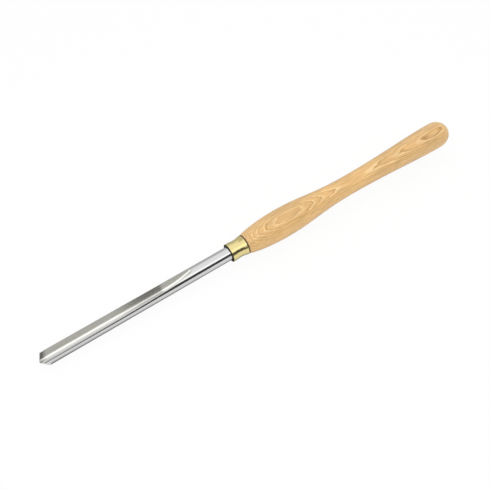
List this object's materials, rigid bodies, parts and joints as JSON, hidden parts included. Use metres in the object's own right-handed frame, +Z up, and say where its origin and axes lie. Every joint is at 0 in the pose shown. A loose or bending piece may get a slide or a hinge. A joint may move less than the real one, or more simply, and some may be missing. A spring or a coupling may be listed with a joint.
{
  "type": "bowl gouge",
  "caption": "Woodturning gouge for bowls: round fluted steel bar with a ground nose, brass ferrule and a long turned ash handle.",
  "frame": {"origin": "on the bench, below the middle of the tool's length, where the tool lies at rest with its flute up", "axes": "+X from the nose of the blade to the end of the handle, +Y across, +Z up; the tool's axis rises 1.95 degrees towards the handle's end, because the tool lies on its bevel's heel and its handle's front swell"},
  "size_m": [0.5679, 0.0354, 0.0437],
  "materials": {
    "high_speed_steel": "polished bar, flute and bevel satin from the grinding wheel",
    "brass": "turned and polished",
    "ash": "satin clear lacquer"
  },
  "bodies": {
    "root": {"blade": "high_speed_steel", "ferrule": "brass", "handle": "ash"}
  },
  "joints": []
}
